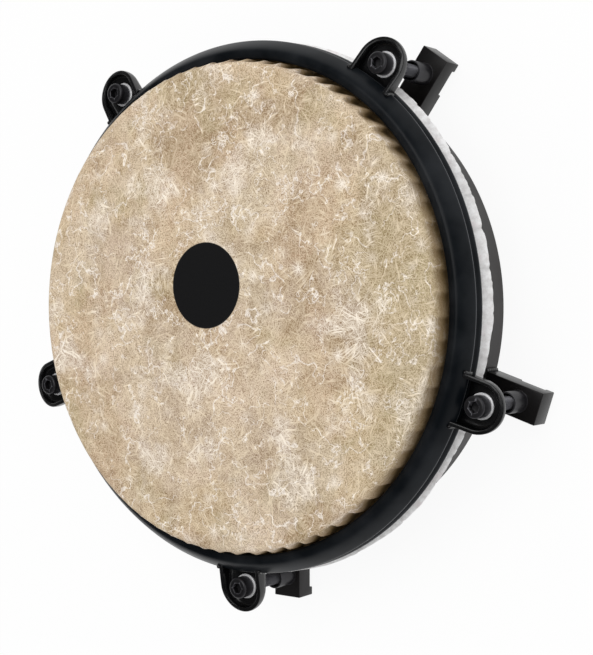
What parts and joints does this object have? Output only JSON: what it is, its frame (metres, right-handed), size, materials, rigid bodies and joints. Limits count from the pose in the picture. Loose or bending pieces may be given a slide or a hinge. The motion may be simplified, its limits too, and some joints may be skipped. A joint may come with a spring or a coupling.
{
  "type": "shallow conga",
  "caption": "Shallow hand drum: film head on an open steel ring, tuned by hooked ears and bolts on a round counter hoop, with arms that seat in a stand.",
  "frame": {"origin": "on the drum's axis, in the plane of the shell's rear edge", "axes": "+Z along the drum's axis towards the playing surface; -Y towards the first lug, whose ear, bolt and arm lie on the YZ plane"},
  "size_m": [0.364, 0.3549, 0.084],
  "materials": {
    "shell_paint": "satin warm grey paint on rolled steel",
    "arm_paint": "satin black paint on a steel block",
    "barrel_steel": "black oxide on turned steel",
    "hoop_paint": "satin black powder coat",
    "ear_paint": "satin black powder coat",
    "washer_plate": "bright plated",
    "bolt_steel": "black oxide",
    "ring_metal": "plain",
    "head_film": "fibre-filled polyester film with a mottled skin look",
    "tail_film": "bare white film"
  },
  "bodies": {
    "shell": {"shell_ring": "shell_paint", "playing_skin": "head_film", "head_collar": "head_film", "stand_arm_1": "arm_paint", "stand_arm_2": "arm_paint", "stand_arm_3": "arm_paint", "stand_arm_4": "arm_paint", "stand_arm_5": "arm_paint", "tuning_barrel_1": "barrel_steel", "tuning_barrel_2": "barrel_steel", "tuning_barrel_3": "barrel_steel", "tuning_barrel_4": "barrel_steel", "tuning_barrel_5": "barrel_steel"},
    "hoop": {"counter_hoop": "hoop_paint", "flesh_ring": "ring_metal", "film_tail": "tail_film", "hoop_ear_1": "ear_paint", "hoop_ear_2": "ear_paint", "hoop_ear_3": "ear_paint", "hoop_ear_4": "ear_paint", "hoop_ear_5": "ear_paint", "ear_washer_1": "washer_plate", "ear_washer_2": "washer_plate", "ear_washer_3": "washer_plate", "ear_washer_4": "washer_plate", "ear_washer_5": "washer_plate"},
    "bolt_1": {"tuning_bolt_1": "bolt_steel"},
    "bolt_2": {"tuning_bolt_2": "bolt_steel"},
    "bolt_3": {"tuning_bolt_3": "bolt_steel"},
    "bolt_4": {"tuning_bolt_4": "bolt_steel"},
    "bolt_5": {"tuning_bolt_5": "bolt_steel"}
  },
  "joints": [
    {"name": "hoop_slide", "type": "slide", "parent": "shell", "child": "hoop", "axis": [0, 0, 1], "range_m": [-0.003, 0.004], "deforming": ["head_collar"]},
    {"name": "bolt_1_turn", "type": "hinge", "parent": "hoop", "child": "bolt_1", "pos_m": [0, -0.174, 0.059], "axis": [0, 0, 1], "range_deg": [-868, 1156]},
    {"name": "bolt_2_turn", "type": "hinge", "parent": "hoop", "child": "bolt_2", "pos_m": [0.16548, -0.05377, 0.059], "axis": [0, 0, 1], "range_deg": [-868, 1156]},
    {"name": "bolt_3_turn", "type": "hinge", "parent": "hoop", "child": "bolt_3", "pos_m": [0.10228, 0.14077, 0.059], "axis": [0, 0, 1], "range_deg": [-868, 1156]},
    {"name": "bolt_4_turn", "type": "hinge", "parent": "hoop", "child": "bolt_4", "pos_m": [-0.10228, 0.14077, 0.059], "axis": [0, 0, 1], "range_deg": [-868, 1156]},
    {"name": "bolt_5_turn", "type": "hinge", "parent": "hoop", "child": "bolt_5", "pos_m": [-0.16548, -0.05377, 0.059], "axis": [0, 0, 1], "range_deg": [-868, 1156]}
  ],
  "couplings": [
    {"joint": "bolt_1_turn", "follows": "hoop_slide", "rad_per_m": 5026.5},
    {"joint": "bolt_2_turn", "follows": "hoop_slide", "rad_per_m": 5026.5},
    {"joint": "bolt_3_turn", "follows": "hoop_slide", "rad_per_m": 5026.5},
    {"joint": "bolt_4_turn", "follows": "hoop_slide", "rad_per_m": 5026.5},
    {"joint": "bolt_5_turn", "follows": "hoop_slide", "rad_per_m": 5026.5}
  ]
}
